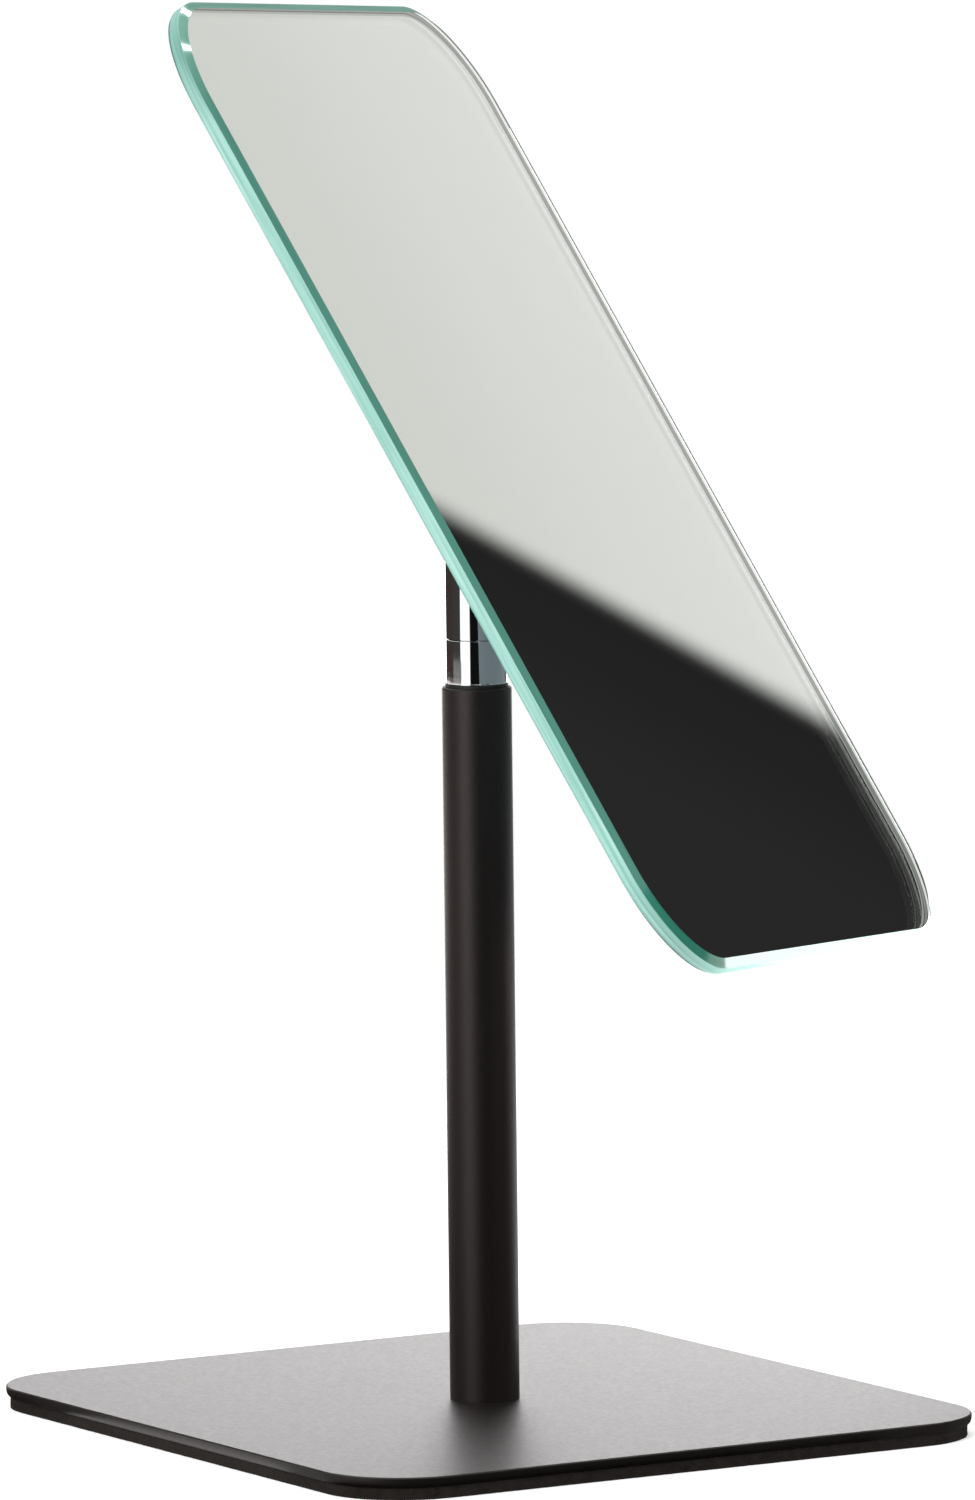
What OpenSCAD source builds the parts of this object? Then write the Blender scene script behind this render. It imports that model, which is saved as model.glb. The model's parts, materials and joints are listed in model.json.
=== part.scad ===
// Countertop mirror: a frameless bevelled pane on a chromed swivel and tilt joint,
// carried by a round column on a flat padded base. Millimetres, +Z up,
// origin at the middle of the base's underside.

/* [Base] */
// Base plate size along X
base_w = 167.5; // [140:0.5:220]
// Base plate size along Y
base_d = 182.5; // [140:0.5:240]
// Corner radius of the base plate
base_r = 21; // [8:1:40]
// Base plate thickness
plate_t = 2.5; // [2.5:0.5:6]
// Bevel along the plate's upper edge
plate_bevel = 0.3; // [0.2:0.1:1]
// How far the plate's lower edge rolls in
plate_roll = 0.9; // [0.4:0.1:1.2]
// Foam pad thickness
pad_t = 2.7; // [1:0.1:4]
// How far the pad lies back from the plate's edge
pad_inset = 0.9; // [0.9:0.1:3]

/* [Column] */
// Tube outer diameter
tube_od = 16; // [15.8:0.1:19]
// Tube wall thickness
tube_wall = 1; // [0.8:0.1:1]
// Tube length
tube_len = 164.3; // [130:0.1:260]

/* [Joint] */
// Diameter of the chromed collar and head
chrome_d = 14; // [14:0.1:15]
// Height of the chromed collar
collar_h = 10.2; // [8:0.1:14]
// Height of the tilt axis above the tube's top
pivot_rise = 35.8; // [34:0.1:50]
// Distance from the tilt axis to the front of the glass
glass_front = 25.5; // [24:0.5:30]
// Diameter of the disc behind the mirror
disc_d = 60; // [40:1:90]

/* [Mirror] */
// Glass width
glass_w = 182; // [120:1:240]
// Glass height
glass_h = 250; // [160:1:320]
// Corner radius of the glass
glass_r = 26.5; // [10:0.5:50]
// Glass thickness
glass_t = 4; // [4:0.5:6]
// Width of the front bevel, seen from the front
bevel_w = 2.1; // [1:0.1:6]
// Depth of the front bevel into the glass
bevel_t = 1.05; // [0.6:0.05:2]

/* [Pose] */
// Head turned about the column, from facing the base's front side
swivel = 40.7; // [-180:0.1:180]
// Mirror leant back from upright
lean = 31.5; // [-4:0.1:84]
// Mirror turned in its own plane
turn = -4.7; // [-180:0.1:180]

/* [Hidden] */
$fn = 96;

// Clearances on the diameter: a fixed fit and a running fit
fixed_fit = 0.04;
running_fit = 0.1;
// Overrun that lets a cut pass clean through a face
over = 1;
// Small bevel on turned and ground edges, and the finer one on the chromed pieces
arris = 0.4;
chrome_arris = 0.15;

// Levels of the column, from the ground up
plate_z = pad_t;
plate_top = plate_z + plate_t;
tube_top = plate_top + tube_len;
tube_id = tube_od - 2 * tube_wall;
bush_flange = 0.8;
bush_lip = 0.2;
collar_z = tube_top + bush_flange;
collar_top = collar_z + collar_h;
// Fine raised rim round the collar's foot
collar_lip = 0.15;
collar_lip_h = 0.2;
seam_gap = 0.1;
head_z = collar_top + seam_gap;
pivot_z = tube_top + pivot_rise;

// Base screw, M5 countersunk, and the plug that it draws up
screw_d = 5;
screw_head_d = 9.4;
screw_head_h = (screw_head_d - screw_d) / 2;
screw_len = 15;
socket_af = 3;
socket_depth = 1.6;
plug_len = 15;

// Swivel stack, M6, under the collar's spigot
spigot_d = 12;
spigot_len = 12;
bush_len = 10;
stud_d = 6;
stud_in_head = 9;
slip_t = 0.5;
slip_d = 11;
spring_t = 0.7;
spring_rise = 0.35;
spring_count = 2;
flat_washer_t = 1;
nut_af = 10;
nut_h = 6;
spring_top = collar_z - spigot_len;
flat_washer_top = spring_top - spring_count * (spring_t + spring_rise);
nut_top = flat_washer_top - flat_washer_t;
stud_past_nut = 1;
stud_end = nut_top - nut_h - stud_past_nut;

// Tilt hinge, M3 cross bolt through the head's slot
bolt_d = 3;
tongue_t = 4.4;
tilt_washer_t = 0.4;
tilt_washer_d = 9;
slot_w = tongue_t + 2 * tilt_washer_t;
eye_r = 5.4;
slot_r = 5.8;
bolt_head_d = 5.7;
bolt_head_h = 1.65;
bolt_pocket_d = 6;
bolt_socket_af = 2;
bolt_socket_depth = 1;
tilt_spring_t = 0.5;
small_nut_af = 5.5;
small_nut_h = 2.4;
// The bolt's ends stay below the head's round side
bolt_reach = 6.15;
bolt_seat = bolt_reach - bolt_head_h;
nut_seat = bolt_reach - small_nut_h;

// Stack along the mirror's normal, from the tilt axis out to the glass
coat_silver = 0.15;
coat_paint = 0.25;
bond_t = 1;
disc_t = 4;
ring_t = 0.4;
// Play that lets the disc slide on the ring
slip_gap = 0.02;
flange_t = 3;
flange_d = 24;
glass_back = glass_front - glass_t;
silver_back = glass_back - coat_silver;
paint_back = silver_back - coat_paint;
disc_front = paint_back - bond_t;
disc_back = disc_front - disc_t;
flange_front = disc_back - ring_t;
flange_back = flange_front - flange_t;
neck_h = 8.6;
turn_spigot_d = 10;
turn_well_d = 18;
turn_well_t = 2;
turn_spring_t = 0.6;
turn_spring_d = 16;
turn_screw_d = 4;
turn_head_d = 7.5;
turn_head_h = 1.2;
turn_screw_len = 5.2;
well_floor = disc_front - turn_well_t;
coat_inset = 0.7;
bond_inset = 1;

// Colours of the finishes
black_coat = "#1f1c1b";
foam = "#2b2523";
chrome = "#c9ccce";
steel = "#8f9294";
nylon = "#d9d6cd";
black_nylon = "#161616";
glass_green = "#a9dcc9";
silver_grey = "#d3d6d2";
paint_grey = "#6e7375";

// Slab along Y whose two long rims follow a profile of [inset, height] points, lowest first
module rimmed_slab(across, along, rim) {
    right = [for (p = rim) [across / 2 - p[0], p[1]]];
    left = [for (i = [len(rim) - 1:-1:0]) [rim[i][0] - across / 2, rim[i][1]]];
    rotate([90, 0, 0])
        linear_extrude(along, center = true)
            polygon(concat(right, left));
}

// Plate with round corners and that same rim all round
module rimmed_plate(w, d, r, rim) {
    low = rim[0][1];
    high = rim[len(rim) - 1][1];
    corner = concat([[0, low]], [for (p = rim) [r - p[0], p[1]]], [[0, high]]);
    for (sx = [-1, 1], sy = [-1, 1])
        translate([sx * (w / 2 - r), sy * (d / 2 - r), 0])
            rotate_extrude()
                polygon(corner);
    rimmed_slab(w, d - 2 * r, rim);
    rotate([0, 0, 90])
        rimmed_slab(d, w - 2 * r, rim);
}

// Flat ring that stands on its lower face
module ring(outer_d, inner_d, t) {
    rotate_extrude()
        translate([inner_d / 2, 0])
            square([(outer_d - inner_d) / 2, t]);
}

// Disc spring that stands on its outer edge
module disc_spring(outer_d, inner_d, t, rise) {
    rotate_extrude()
        polygon([[outer_d / 2, 0], [outer_d / 2, t], [inner_d / 2, t + rise], [inner_d / 2, rise]]);
}

// Round bar with a small bevel at both ends
module turned_bar(d, h, bevel) {
    rotate_extrude()
        polygon([[0, 0], [d / 2 - bevel, 0], [d / 2, bevel], [d / 2, h - bevel], [d / 2 - bevel, h], [0, h]]);
}

// Hexagonal bar, across flats af
module hex_bar(af, h) {
    cylinder(d = af / cos(30), h = h, $fn = 6);
}

// Frame of the head: X along the tilt axis, -Y the way the mirror faces
module on_head() {
    rotate([0, 0, swivel])
        children();
}

// Frame of the cross bolt: +Z along the tilt axis
module on_tilt_axis() {
    on_head()
        translate([0, 0, pivot_z])
            rotate([0, 90, 0])
                children();
}

// Frame of the tongue: Z along the mirror's normal, Y up the mirror
module on_tongue() {
    on_head()
        translate([0, 0, pivot_z])
            rotate([90 - lean, 0, 0])
                children();
}

// Frame of the mirror: as the tongue's, turned in the mirror's plane
module on_mirror() {
    on_tongue()
        rotate([0, 0, turn])
            children();
}

module base_pad() {
    color(foam)
        rimmed_plate(base_w - 2 * pad_inset, base_d - 2 * pad_inset, base_r - pad_inset, [[0, 0], [0, pad_t]]);
}

module base_plate() {
    roll_steps = 4;
    roll_h = 0.6 * plate_t;
    roll = [for (i = [0:roll_steps]) let (a = 90 * i / roll_steps)
        [plate_roll * (1 - sin(a)), roll_h * (1 - cos(a))]];
    rim = concat(roll, [[0, plate_t - plate_bevel], [plate_bevel, plate_t]]);
    color(black_coat)
        translate([0, 0, plate_z])
            difference() {
                rimmed_plate(base_w, base_d, base_r, rim);
                translate([0, 0, -over])
                    cylinder(d = screw_d + running_fit, h = plate_t + 2 * over);
                cylinder(d1 = screw_head_d + running_fit, d2 = screw_d + running_fit, h = screw_head_h);
            }
}

module base_screw() {
    color(steel)
        translate([0, 0, plate_z])
            difference() {
                union() {
                    cylinder(d1 = screw_head_d, d2 = screw_d, h = screw_head_h);
                    cylinder(d = screw_d, h = screw_len);
                }
                translate([0, 0, -over])
                    hex_bar(socket_af, socket_depth + over);
            }
}

module foot_plug() {
    color(steel)
        translate([0, 0, plate_top])
            difference() {
                turned_bar(tube_id - fixed_fit, plug_len, arris);
                translate([0, 0, -over])
                    cylinder(d = screw_d + fixed_fit, h = plug_len + 2 * over);
            }
}

module column_tube() {
    rim_r = tube_wall / 2;
    rim_steps = 6;
    outer = tube_od / 2;
    arc = [for (i = [0:rim_steps]) let (a = 90 * i / rim_steps)
        [outer - rim_r + rim_r * cos(a), tube_len - rim_r + rim_r * sin(a)]];
    color(black_coat)
        translate([0, 0, plate_top])
            rotate_extrude()
                polygon(concat([[tube_id / 2, 0], [outer, 0]], arc, [[tube_id / 2, tube_len]]));
}

module tube_bush() {
    color(black_nylon)
        translate([0, 0, tube_top]) {
            ring(chrome_d + 2 * bush_lip, spigot_d + fixed_fit, bush_flange);
            translate([0, 0, -bush_len])
                ring(tube_id - fixed_fit, spigot_d + fixed_fit, bush_len);
        }
}

// The collar's outside: a round bar with a fine rim at its foot and a bevel at its top
module collar_bar() {
    r = chrome_d / 2;
    rotate_extrude()
        polygon([[0, 0], [r, 0], [r + collar_lip, collar_lip_h / 2], [r + collar_lip, collar_lip_h],
                 [r, collar_lip_h + collar_lip], [r, collar_h - chrome_arris], [r - chrome_arris, collar_h],
                 [0, collar_h]]);
}

module joint_collar() {
    color(chrome)
        difference() {
            union() {
                translate([0, 0, collar_z])
                    collar_bar();
                translate([0, 0, spring_top])
                    cylinder(d = spigot_d, h = spigot_len + over);
            }
            translate([0, 0, spring_top - over])
                cylinder(d = stud_d + running_fit, h = spigot_len + collar_h + 2 * over);
            translate([0, 0, head_z - slip_t])
                cylinder(d = slip_d + fixed_fit, h = slip_t + over);
        }
}

module swivel_washer() {
    color(nylon)
        translate([0, 0, head_z - slip_t])
            ring(slip_d, stud_d + running_fit, slip_t);
}

module swivel_stud() {
    color(steel)
        translate([0, 0, stud_end])
            turned_bar(stud_d, head_z + stud_in_head - stud_end, arris);
}

module swivel_springs() {
    pair_h = spring_t + spring_rise;
    color(steel)
        translate([0, 0, flat_washer_top + pair_h]) {
            disc_spring(spigot_d, stud_d + running_fit, spring_t, spring_rise);
            mirror([0, 0, 1])
                disc_spring(spigot_d, stud_d + running_fit, spring_t, spring_rise);
        }
}

module swivel_flat_washer() {
    color(steel)
        translate([0, 0, nut_top])
            ring(spigot_d, stud_d + running_fit, flat_washer_t);
}

module swivel_nut() {
    color(steel)
        translate([0, 0, nut_top - nut_h])
            difference() {
                hex_bar(nut_af, nut_h);
                translate([0, 0, -over])
                    cylinder(d = stud_d + fixed_fit, h = nut_h + 2 * over);
            }
}

module swivel_head() {
    post_h = pivot_z - head_z;
    color(chrome)
        difference() {
            union() {
                translate([0, 0, head_z])
                    rotate_extrude()
                        polygon([[0, 0], [chrome_d / 2 - chrome_arris, 0], [chrome_d / 2, chrome_arris],
                                 [chrome_d / 2, post_h], [0, post_h]]);
                translate([0, 0, pivot_z])
                    sphere(d = chrome_d);
            }
            // Tapped hole for the stud
            translate([0, 0, head_z - over])
                cylinder(d = stud_d + fixed_fit, h = stud_in_head + over);
            on_tilt_axis() {
                // Slot for the tongue: round behind the axis, open to the front and the top
                translate([0, 0, -slot_w / 2])
                    cylinder(r = slot_r, h = slot_w);
                translate([-chrome_d, -slot_r, -slot_w / 2])
                    cube([chrome_d, 2 * slot_r, slot_w]);
                translate([-chrome_d, -chrome_d, -slot_w / 2])
                    cube([chrome_d + slot_r, chrome_d, slot_w]);
                // Cross bore, and the pockets for the bolt's head and its nut
                cylinder(d = bolt_d + running_fit, h = 2 * chrome_d, center = true);
                translate([0, 0, bolt_seat - tilt_spring_t])
                    cylinder(d = bolt_pocket_d, h = chrome_d);
                translate([0, 0, -nut_seat - chrome_d])
                    hex_bar(small_nut_af + running_fit, chrome_d);
            }
        }
}

module tilt_bolt() {
    color(steel)
        on_tilt_axis()
            difference() {
                union() {
                    translate([0, 0, -bolt_reach])
                        cylinder(d = bolt_d, h = bolt_reach + bolt_seat + arris);
                    translate([0, 0, bolt_seat])
                        turned_bar(bolt_head_d, bolt_head_h, arris);
                }
                translate([0, 0, bolt_reach - bolt_socket_depth])
                    hex_bar(bolt_socket_af, bolt_socket_depth + over);
            }
}

module tilt_washers() {
    color(nylon)
        on_tilt_axis()
            for (z = [tongue_t / 2, -tongue_t / 2 - tilt_washer_t])
                translate([0, 0, z])
                    ring(tilt_washer_d, bolt_d + running_fit, tilt_washer_t);
}

module tilt_spring() {
    color(steel)
        on_tilt_axis()
            translate([0, 0, bolt_seat - tilt_spring_t])
                ring(bolt_head_d, bolt_d + running_fit, tilt_spring_t);
}

module tilt_nut() {
    color(steel)
        on_tilt_axis()
            translate([0, 0, -bolt_reach])
                difference() {
                    hex_bar(small_nut_af, small_nut_h);
                    translate([0, 0, -over])
                        cylinder(d = bolt_d + fixed_fit, h = small_nut_h + 2 * over);
                }
}

module tilt_tongue() {
    color(chrome)
        on_tongue()
            difference() {
                union() {
                    rotate([0, 90, 0])
                        cylinder(r = eye_r, h = tongue_t, center = true);
                    translate([-tongue_t / 2, -neck_h / 2, 0])
                        cube([tongue_t, neck_h, flange_back + arris]);
                    translate([0, 0, flange_back])
                        turned_bar(flange_d, flange_t, arris);
                    translate([0, 0, flange_back + arris])
                        cylinder(d = turn_spigot_d, h = well_floor - flange_back - 2 * arris);
                }
                rotate([0, 90, 0])
                    cylinder(d = bolt_d + running_fit, h = 2 * chrome_d, center = true);
                translate([0, 0, flange_back + arris])
                    cylinder(d = turn_screw_d + fixed_fit, h = disc_front);
            }
}

module turn_ring() {
    color(nylon)
        on_tongue()
            translate([0, 0, flange_front])
                ring(flange_d, turn_spigot_d + running_fit, ring_t - slip_gap);
}

module turn_spring() {
    color(steel)
        on_tongue()
            translate([0, 0, well_floor])
                ring(turn_spring_d, turn_screw_d + running_fit, turn_spring_t);
}

module turn_screw() {
    head_seat = well_floor + turn_spring_t;
    color(steel)
        on_tongue()
            difference() {
                union() {
                    translate([0, 0, head_seat - turn_screw_len])
                        cylinder(d = turn_screw_d, h = turn_screw_len + arris);
                    translate([0, 0, head_seat])
                        cylinder(d = turn_head_d, h = turn_head_h);
                }
                translate([0, 0, head_seat + arris])
                    hex_bar(socket_af, turn_head_h);
            }
}

module mount_disc() {
    color(steel)
        on_mirror()
            translate([0, 0, disc_back])
                difference() {
                    turned_bar(disc_d, disc_t, arris);
                    translate([0, 0, -over])
                        cylinder(d = turn_spigot_d + running_fit, h = disc_t + 2 * over);
                    translate([0, 0, disc_t - turn_well_t])
                        cylinder(d = turn_well_d, h = turn_well_t + over);
                }
}

module adhesive_pad() {
    color(foam)
        on_mirror()
            translate([0, 0, disc_front])
                cylinder(d = disc_d - 2 * bond_inset, h = bond_t);
}

// Layer behind the glass, from one distance along the normal to another
module coat(from, to) {
    on_mirror()
        rimmed_plate(glass_w - 2 * coat_inset, glass_h - 2 * coat_inset, glass_r - coat_inset,
                     [[0, from], [0, to]]);
}

module mirror_backing() {
    color(paint_grey)
        coat(paint_back, silver_back);
}

module mirror_silver() {
    color(silver_grey)
        coat(silver_back, glass_back);
}

module mirror_glass() {
    rim = [[arris, glass_back], [0, glass_back + arris], [0, glass_front - bevel_t], [bevel_w, glass_front]];
    color(glass_green, 0.5)
        on_mirror()
            rimmed_plate(glass_w, glass_h, glass_r, rim);
}

base_pad();
base_plate();
base_screw();
foot_plug();
column_tube();
tube_bush();
joint_collar();
swivel_washer();
swivel_stud();
swivel_springs();
swivel_flat_washer();
swivel_nut();
swivel_head();
tilt_bolt();
tilt_washers();
tilt_spring();
tilt_nut();
tilt_tongue();
turn_ring();
turn_spring();
turn_screw();
mount_disc();
adhesive_pad();
mirror_backing();
mirror_silver();
mirror_glass();
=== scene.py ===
"""Looks of a countertop mirror: a frameless pane of bevelled glass on a chromed joint and a black stand."""

import json
import logging
import math
from dataclasses import dataclass, field
from enum import Enum, IntEnum
from typing import Any

import bmesh
import bpy
from bmesh.types import BMesh, BMFace, BMVert
from bpy.types import Material, Node, NodeSocket, NodeTree, Object
from mathutils import Matrix, Vector, noise

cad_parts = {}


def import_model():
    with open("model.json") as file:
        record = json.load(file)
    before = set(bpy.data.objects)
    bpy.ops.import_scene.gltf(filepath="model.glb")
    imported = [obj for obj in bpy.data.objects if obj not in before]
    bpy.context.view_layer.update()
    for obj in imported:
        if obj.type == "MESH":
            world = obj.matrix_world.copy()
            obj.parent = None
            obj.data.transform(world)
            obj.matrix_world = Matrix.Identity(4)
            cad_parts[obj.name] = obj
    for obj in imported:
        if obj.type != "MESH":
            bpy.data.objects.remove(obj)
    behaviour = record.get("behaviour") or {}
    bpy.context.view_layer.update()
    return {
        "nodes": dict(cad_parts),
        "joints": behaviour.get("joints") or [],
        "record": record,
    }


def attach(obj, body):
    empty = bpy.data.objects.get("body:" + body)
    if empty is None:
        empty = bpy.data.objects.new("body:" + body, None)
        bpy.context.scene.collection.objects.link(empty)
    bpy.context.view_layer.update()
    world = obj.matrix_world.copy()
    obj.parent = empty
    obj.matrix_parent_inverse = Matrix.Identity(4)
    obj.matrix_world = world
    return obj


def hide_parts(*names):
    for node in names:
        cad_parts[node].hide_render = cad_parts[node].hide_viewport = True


Triple = tuple[float, float, float]
Colour = Triple
Span = tuple[float, float]
Tones = tuple[tuple[float, Colour], ...]

LOG = logging.getLogger("countertop_mirror")
MM = 0.001
TINY = 1e-6
PHOTO_LONG_SIDE = 1500
SENSOR = 36.0
GLASS_INDEX = 1.52
BLACK: Colour = (0.0, 0.0, 0.0)
WHITE: Colour = (1.0, 1.0, 1.0)
CENTRE: Triple = (0.0, 0.0, 0.0)
UPWARD: Triple = (0.0, 0.0, 1.0)
# Where the photo's camera stands, seen from the column, in degrees from +X
CAMERA_AZIMUTH = -120.7


def grey(level: float) -> Colour:
    """Gives a neutral colour."""
    return (level, level, level)


def rgba(colour: Colour) -> tuple[float, float, float, float]:
    """Gives a colour with full alpha."""
    return (*colour, 1.0)


class Stock(Enum):
    """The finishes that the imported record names, by their slots."""

    BLACK_COAT = "black_coat"
    FOAM = "foam"
    CHROME = "chrome"
    STEEL = "steel"
    NYLON = "nylon"
    BLACK_NYLON = "black_nylon"
    BACKING_PAINT = "backing_paint"
    SILVER = "silver"
    GLASS = "glass"


class GlassSlot(IntEnum):
    """The glass's own material slots."""

    BODY = 0
    RIM = 1
    BEVEL = 2


class Grain:
    """Shader node group: fine noise that gives a centred mask, a height and a tinted colour."""

    NAME = "fine_grain"
    # The part of the noise's range that most of its values lie in
    COMMON = (0.3, 0.7)

    @classmethod
    def group(cls) -> NodeTree:
        """Gives the group, and makes it the first time.

        Returns:
            The shader node group with its named sockets.
        """
        made = bpy.data.node_groups.get(cls.NAME)
        if made is not None:
            return made
        tree = bpy.data.node_groups.new(cls.NAME, "ShaderNodeTree")
        face = tree.interface
        face.new_socket("Vector", in_out="INPUT", socket_type="NodeSocketVector")
        for name in ("Scale", "Detail", "Low", "High"):
            face.new_socket(name, in_out="INPUT", socket_type="NodeSocketFloat")
        for name in ("Dark", "Light"):
            face.new_socket(name, in_out="INPUT", socket_type="NodeSocketColor")
        face.new_socket("Colour", in_out="OUTPUT", socket_type="NodeSocketColor")
        for name in ("Value", "Height"):
            face.new_socket(name, in_out="OUTPUT", socket_type="NodeSocketFloat")
        nodes, links = tree.nodes, tree.links
        given = nodes.new("NodeGroupInput").outputs
        out = nodes.new("NodeGroupOutput").inputs
        grain = nodes.new("ShaderNodeTexNoise")
        for name in ("Vector", "Scale", "Detail"):
            links.new(given[name], grain.inputs[name])
        spread = nodes.new("ShaderNodeMapRange")
        spread.inputs["From Min"].default_value, spread.inputs["From Max"].default_value = cls.COMMON
        tint = nodes.new("ShaderNodeMix")
        tint.data_type = "RGBA"
        links.new(grain.outputs["Fac"], spread.inputs["Value"])
        links.new(given["Low"], spread.inputs["To Min"])
        links.new(given["High"], spread.inputs["To Max"])
        links.new(grain.outputs["Fac"], tint.inputs["Factor"])
        links.new(given["Dark"], tint.inputs["A"])
        links.new(given["Light"], tint.inputs["B"])
        links.new(tint.outputs["Result"], out["Colour"])
        links.new(spread.outputs["Result"], out["Value"])
        links.new(grain.outputs["Fac"], out["Height"])
        return tree


class Shader:
    """A node material with one Principled shader, and short calls to add to it."""

    def __init__(self, name: str) -> None:
        """Makes an empty material.

        Args:
            name: the material's name.
        """
        self.material = bpy.data.materials.new(name)
        self.material.use_nodes = True
        self.tree = self.material.node_tree
        self.surface = self.tree.nodes["Principled BSDF"]
        self.output = self.tree.nodes["Material Output"]
        self.place = self.tree.nodes.new("ShaderNodeTexCoord").outputs["Object"]

    def feed(self, node: Node, **values: Any) -> None:
        """Sets or links inputs of a node.

        Args:
            node: the node.
            values: input names, with underscores for spaces, and a constant or an output socket.
        """
        for name, value in values.items():
            socket = node.inputs[name.replace("_", " ")]
            if isinstance(value, NodeSocket):
                self.tree.links.new(value, socket)
            else:
                socket.default_value = rgba(value) if socket.type == "RGBA" else value

    def give(self, **values: Any) -> None:
        """Sets or links the Principled shader's own inputs, as feed does."""
        self.feed(self.surface, **values)

    def add(self, kind: str, **values: Any) -> Node:
        """Adds a node and sets its inputs or links them.

        Args:
            kind: the node's type.
            values: input names, with underscores for spaces, and a constant or an output socket.

        Returns:
            The new node.
        """
        node = self.tree.nodes.new(kind)
        self.feed(node, **values)
        return node

    def grain(self, vector: NodeSocket, gloss: Span, **values: Any) -> Node:
        """Adds the fine grain group, which also gives the surface its roughness.

        Args:
            vector: the coordinates that it reads.
            gloss: the least and the greatest roughness.
            values: the group's other inputs.

        Returns:
            The group node.
        """
        node = self.tree.nodes.new("ShaderNodeGroup")
        node.node_tree = Grain.group()
        self.feed(node, Vector=vector, Low=gloss[0], High=gloss[1], **values)
        self.give(Roughness=node.outputs["Value"])
        return node

    def coat(self, vector: NodeSocket, gloss: Span, **values: Any) -> NodeSocket:
        """Adds the fine grain group, which gives the surface its colour and its roughness.

        Args:
            vector: the coordinates that it reads.
            gloss: the least and the greatest roughness.
            values: the group's other inputs.

        Returns:
            The socket with the grain's height.
        """
        node = self.grain(vector, gloss, **values)
        self.give(Base_Color=node.outputs["Colour"])
        return node.outputs["Height"]

    def ramp(self, value: NodeSocket, tones: Tones) -> NodeSocket:
        """Gives a colour that runs through given ones.

        Args:
            value: the socket that it follows, from 0 to 1.
            tones: places from 0 to 1, each with its colour.

        Returns:
            The socket with the colour.
        """
        node = self.add("ShaderNodeValToRGB", Fac=value)
        stops = node.color_ramp.elements
        stops.remove(stops[1])
        stops[0].position = tones[0][0]
        stops[0].color = rgba(tones[0][1])
        for place, colour in tones[1:]:
            stops.new(place).color = rgba(colour)
        return node.outputs["Color"]

    def mix(self, share: NodeSocket, first: Any, second: Any) -> NodeSocket:
        """Mixes two colours.

        Args:
            share: the socket with the second colour's share.
            first: a colour, or a socket with one.
            second: a colour, or a socket with one.

        Returns:
            The socket with the mixed colour.
        """
        node = self.add("ShaderNodeMix", Factor=share)
        node.data_type = "RGBA"
        self.feed(node, A=first, B=second)
        return node.outputs["Result"]

    def along(self, axis: str, vector: NodeSocket | None = None) -> NodeSocket:
        """Gives one coordinate.

        Args:
            axis: X, Y or Z.
            vector: the socket with the coordinates, or None for Object coordinates.

        Returns:
            The socket with the coordinate.
        """
        return self.add("ShaderNodeSeparateXYZ", Vector=vector or self.place).outputs[axis]

    def share(self, value: NodeSocket, span: Span, curve: str = "SMOOTHSTEP") -> NodeSocket:
        """Gives how far a value has come through a span.

        Args:
            value: the socket that it follows.
            span: the values that give 0 and 1.
            curve: how it runs between them.

        Returns:
            The socket with the share, from 0 to 1.
        """
        node = self.add("ShaderNodeMapRange", Value=value, From_Min=span[0], From_Max=span[1])
        node.interpolation_type = curve
        return node.outputs["Result"]

    def blend(self, value: NodeSocket, span: Span, first: Any, second: Any) -> NodeSocket:
        """Runs smoothly from one colour to another.

        Args:
            value: the socket that it follows.
            span: the values where the first colour ends and the second begins.
            first: a colour, or a socket with one.
            second: a colour, or a socket with one.

        Returns:
            The socket with the colour.
        """
        return self.mix(self.share(value, span), first, second)

    def bump(self, height: NodeSocket, depth: float, strength: float) -> None:
        """Raises the surface by a height.

        Args:
            height: the socket with the height, from 0 to 1.
            depth: what a height of 1 is, in metres.
            strength: share of the bump that shows.
        """
        node = self.add("ShaderNodeBump", Height=height, Distance=depth, Strength=strength)
        self.give(Normal=node.outputs["Normal"])


@dataclass(frozen=True)
class SatinCoat:
    """Black powder coat: nearly even colour, a fine orange peel, a satin gloss and a warm sheen."""

    name: str = "satin_black_coat"
    dark: Colour = (0.0028, 0.0022, 0.0019)
    light: Colour = (0.0056, 0.0044, 0.0038)
    gloss: Span = (0.42, 0.48)
    peel_scale: float = 900.0
    peel_detail: float = 2.0
    peel_depth: float = 0.002 * MM
    peel_strength: float = 0.4
    index: float = 1.6
    warmth: Colour = (1.0, 0.87, 0.85)

    def material(self) -> Material:
        """Makes the coat's node material.

        Returns:
            The material.
        """
        shader = Shader(self.name)
        peel = shader.coat(shader.place, self.gloss, Scale=self.peel_scale, Detail=self.peel_detail,
                           Dark=self.dark, Light=self.light)
        shader.give(IOR=self.index, Specular_Tint=self.warmth)
        shader.bump(peel, self.peel_depth, self.peel_strength)
        return shader.material


@dataclass(frozen=True)
class CutFoam:
    """Dark closed-cell foam with open cells along its cut edge."""

    name: str = "cut_foam"
    dark: Colour = (0.005, 0.004, 0.0035)
    light: Colour = (0.028, 0.022, 0.0195)
    gloss: Span = (0.8, 1.0)
    cell_scale: float = 2200.0
    cell_depth: float = 0.25 * MM
    cell_strength: float = 0.7
    cells_across_mottle: float = 6.0
    mottle_detail: float = 4.0
    shine: float = 0.2

    def material(self) -> Material:
        """Makes the foam's node material.

        Returns:
            The material.
        """
        shader = Shader(self.name)
        cells = shader.add("ShaderNodeTexVoronoi", Vector=shader.place, Scale=self.cell_scale)
        shader.coat(shader.place, self.gloss, Scale=self.cell_scale / self.cells_across_mottle,
                    Detail=self.mottle_detail, Dark=self.dark, Light=self.light)
        shader.give(Specular_IOR_Level=self.shine)
        shader.bump(cells.outputs["Distance"], self.cell_depth, self.cell_strength)
        return shader.material


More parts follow.
